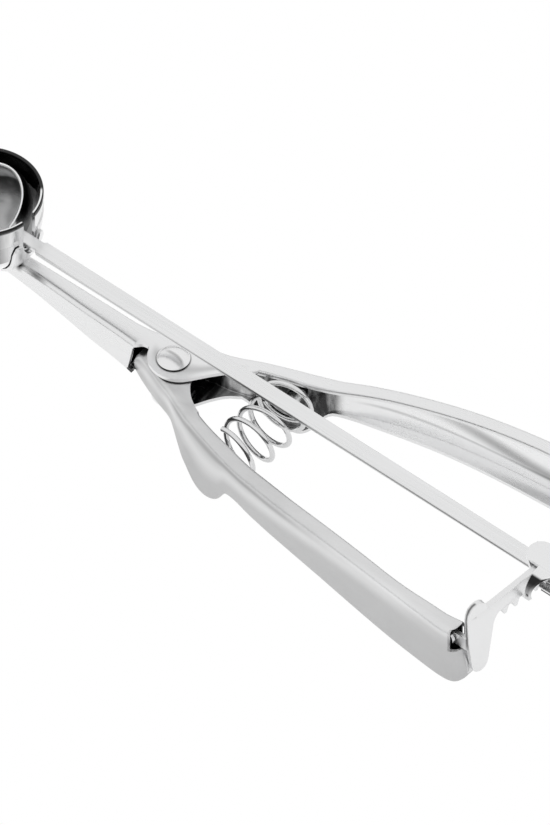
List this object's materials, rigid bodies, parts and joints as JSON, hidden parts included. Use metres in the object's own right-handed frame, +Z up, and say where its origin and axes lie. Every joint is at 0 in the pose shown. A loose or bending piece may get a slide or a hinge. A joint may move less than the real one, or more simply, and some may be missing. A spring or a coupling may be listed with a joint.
{
  "type": "ice cream scoop",
  "caption": "Squeeze-handle ice cream scoop: deep bowl with a sweeping scraper, turned by a rack and pinion when the sprung handles are squeezed.",
  "frame": {"origin": "centre of the bounding box on the surface that the scoop lies on", "axes": "+X from the bowl to the handle ends, +Y from the moving handle to the fixed one, +Z up with the bowl's mouth upwards"},
  "size_m": [0.2022, 0.064, 0.0489],
  "materials": {
    "polished_steel": "polished",
    "satin_steel": "satin",
    "brushed_steel": "brushed lengthwise",
    "spring_steel": "bright drawn wire"
  },
  "bodies": {
    "frame": {"bowl": "polished_steel", "fixed_handle": "satin_steel", "front_pivot_rivet": "polished_steel", "front_pivot_washer": "satin_steel", "pivot_rivet": "polished_steel", "pivot_sleeve": "satin_steel", "rivet_washer": "satin_steel", "fixed_spring_seat": "satin_steel", "handle_spring": "spring_steel", "rack_yoke": "polished_steel"},
    "squeeze_handle": {"moving_handle": "satin_steel", "rack": "satin_steel", "rack_rivet": "satin_steel", "moving_spring_seat": "satin_steel"},
    "sweep": {"drive_shaft": "brushed_steel", "scraper": "polished_steel", "pinion": "satin_steel", "tang_collar": "satin_steel", "pinion_washer": "satin_steel", "shaft_end_rivet": "satin_steel"}
  },
  "joints": [
    {"name": "squeeze", "type": "hinge", "parent": "frame", "child": "squeeze_handle", "pos_m": [-0.02752, 0, 0.02215], "axis": [0.1426, 0, 0.9898], "range_deg": [0, 6.8], "stiffness_Nm_per_rad": 2, "springref_deg": -4.58, "deforming": ["handle_spring"]},
    {"name": "sweep_turn", "type": "hinge", "parent": "frame", "child": "sweep", "pos_m": [0.09269, 0.001, 0.01291], "axis": [0.9898, 0, -0.1426], "range_deg": [-188, 0]}
  ],
  "couplings": [
    {"joint": "sweep_turn", "follows": "squeeze", "ratio": -27.489}
  ]
}
